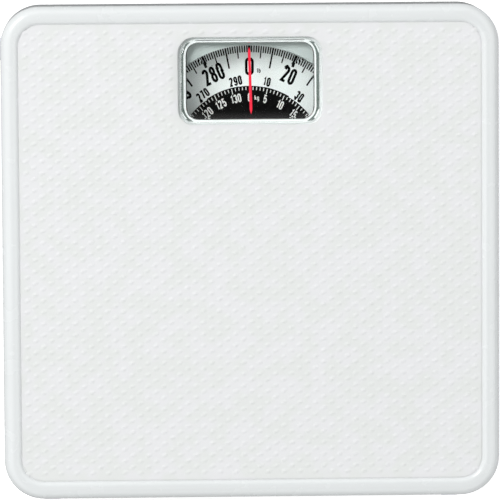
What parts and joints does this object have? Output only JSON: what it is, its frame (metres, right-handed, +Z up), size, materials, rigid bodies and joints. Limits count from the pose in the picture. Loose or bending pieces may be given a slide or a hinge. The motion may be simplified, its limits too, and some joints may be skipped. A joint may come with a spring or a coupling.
{
  "type": "mechanical dial platform scale",
  "caption": "Low square household weighing scale: a white platform with an embossed mat, a magnifying lens over a turning dial, and a lever, spring and rack movement in a pressed base.",
  "frame": {"origin": "on the floor under the four feet, at the centre of the whole footprint", "axes": "+Z up, +Y towards the dial end, +X to the right of a person who stands on the scale and faces the dial"},
  "size_m": [0.2704, 0.269, 0.048],
  "materials": {
    "white_enamel": "gloss enamel",
    "mat_vinyl": "embossed satin vinyl",
    "clear_plastic": "polished clear acrylic",
    "pointer_red": "red, satin",
    "base_paint": "grey baked paint",
    "foot_plastic": "light grey moulded plastic",
    "zinc_plate": "bright zinc plated sheet",
    "lever_steel": "oiled pressed steel",
    "spring_steel": "drawn spring wire",
    "machined_steel": "turned steel",
    "brass": "machined brass",
    "guide_plastic": "natural nylon",
    "rack_steel": "stamped steel",
    "dial_face": "silver grey printed aluminium",
    "mask_paint": "darker silver grey paint",
    "wheel_plastic": "black moulded plastic"
  },
  "bodies": {
    "base": {"base_pan": "base_paint", "rivets": "machined_steel", "spring_bridge": "zinc_plate", "dial_mask": "mask_paint", "crank_pin": "machined_steel", "dial_bracket": "zinc_plate", "lower_bush": "brass", "upper_bush": "brass", "rack_guide": "guide_plastic", "main_spring": "spring_steel", "rack_spring": "spring_steel", "foot_front_left": "foot_plastic", "foot_front_right": "foot_plastic", "foot_rear_left": "foot_plastic", "foot_rear_right": "foot_plastic", "fulcrum_front_left": "zinc_plate", "fulcrum_front_right": "zinc_plate", "fulcrum_rear_left": "zinc_plate", "fulcrum_rear_right": "zinc_plate", "platform_spring_front_left": "spring_steel", "platform_spring_front_right": "spring_steel", "platform_spring_rear_left": "spring_steel", "platform_spring_rear_right": "spring_steel"},
    "platform": {"platform_cover": "white_enamel", "platform_mat": "mat_vinyl", "lens": "clear_plastic", "lens_retainer": "zinc_plate", "pointer": "pointer_red", "platform_post_front_left": "zinc_plate", "platform_post_front_right": "zinc_plate", "platform_post_rear_left": "zinc_plate", "platform_post_rear_right": "zinc_plate"},
    "long_lever_left": {"long_lever_left": "lever_steel"},
    "long_lever_right": {"long_lever_right": "lever_steel"},
    "short_lever_left": {"short_lever_left": "lever_steel"},
    "short_lever_right": {"short_lever_right": "lever_steel"},
    "nose_plate": {"nose_plate": "zinc_plate"},
    "adjusting_screw": {"adjusting_screw": "machined_steel"},
    "zero_wheel": {"zero_wheel": "wheel_plastic"},
    "crank": {"crank": "lever_steel"},
    "rack": {"rack": "rack_steel", "rack_pin": "machined_steel"},
    "dial": {"dial_disc": "dial_face", "dial_hub": "guide_plastic", "dial_shaft": "machined_steel", "dial_nut": "machined_steel", "pinion": "brass"}
  },
  "joints": [
    {"name": "dial_turn", "type": "hinge", "parent": "base", "child": "dial", "pos_m": [0, 0.04855, 0.0254], "axis": [0, 0, 1], "range_deg": [0, 362]},
    {"name": "platform_travel", "type": "slide", "parent": "base", "child": "platform", "axis": [0, 0, -1], "range_m": [0, 0.00054546], "deforming": ["platform_spring_front_left", "platform_spring_front_right", "platform_spring_rear_left", "platform_spring_rear_right"]},
    {"name": "nose_travel", "type": "slide", "parent": "base", "child": "nose_plate", "axis": [0, 0, -1], "range_m": [0, 0.00606], "stiffness_N_per_m": 20000, "springref_m": -0.001, "deforming": ["main_spring"]},
    {"name": "crank_swing", "type": "hinge", "parent": "base", "child": "crank", "pos_m": [-0.0275, 0.11315, 0.03], "axis": [-1, 0, 0], "range_deg": [0, 54.5]},
    {"name": "rack_travel", "type": "slide", "parent": "base", "child": "rack", "axis": [0, -1, 0], "range_m": [0, 0.019], "deforming": ["rack_spring"]},
    {"name": "zero_wheel_turn", "type": "hinge", "parent": "nose_plate", "child": "zero_wheel", "pos_m": [0, 0.11915, 0.015], "axis": [0, 0, 1], "range_deg": [-362, 362]},
    {"name": "screw_travel", "type": "slide", "parent": "nose_plate", "child": "adjusting_screw", "axis": [0, 0, 1], "range_m": [-0.001, 0.001]},
    {"name": "long_lever_left_tilt", "type": "hinge", "parent": "base", "child": "long_lever_left", "pos_m": [-0.1, -0.10085, 0.01705], "axis": [-1, 0, 0], "range_deg": [0, 1.59]},
    {"name": "long_lever_right_tilt", "type": "hinge", "parent": "base", "child": "long_lever_right", "pos_m": [0.1, -0.10085, 0.01705], "axis": [-1, 0, 0], "range_deg": [0, 1.59]},
    {"name": "short_lever_left_tilt", "type": "hinge", "parent": "base", "child": "short_lever_left", "pos_m": [-0.1, 0.10515, 0.01705], "axis": [1, 0, 0], "range_deg": [0, 1.59]},
    {"name": "short_lever_right_tilt", "type": "hinge", "parent": "base", "child": "short_lever_right", "pos_m": [0.1, 0.10515, 0.01705], "axis": [1, 0, 0], "range_deg": [0, 1.59]}
  ],
  "couplings": [
    {"joint": "dial_turn", "follows": "platform_travel", "rad_per_m": 11519},
    {"joint": "nose_travel", "follows": "platform_travel", "ratio": 11},
    {"joint": "crank_swing", "follows": "platform_travel", "rad_per_m": 1727.9},
    {"joint": "rack_travel", "follows": "platform_travel", "ratio": 34.558},
    {"joint": "zero_wheel_turn", "follows": "screw_travel", "rad_per_m": 6283.2},
    {"joint": "long_lever_left_tilt", "follows": "platform_travel", "rad_per_m": 50},
    {"joint": "long_lever_right_tilt", "follows": "platform_travel", "rad_per_m": 50},
    {"joint": "short_lever_left_tilt", "follows": "platform_travel", "rad_per_m": 50},
    {"joint": "short_lever_right_tilt", "follows": "platform_travel", "rad_per_m": 50}
  ]
}
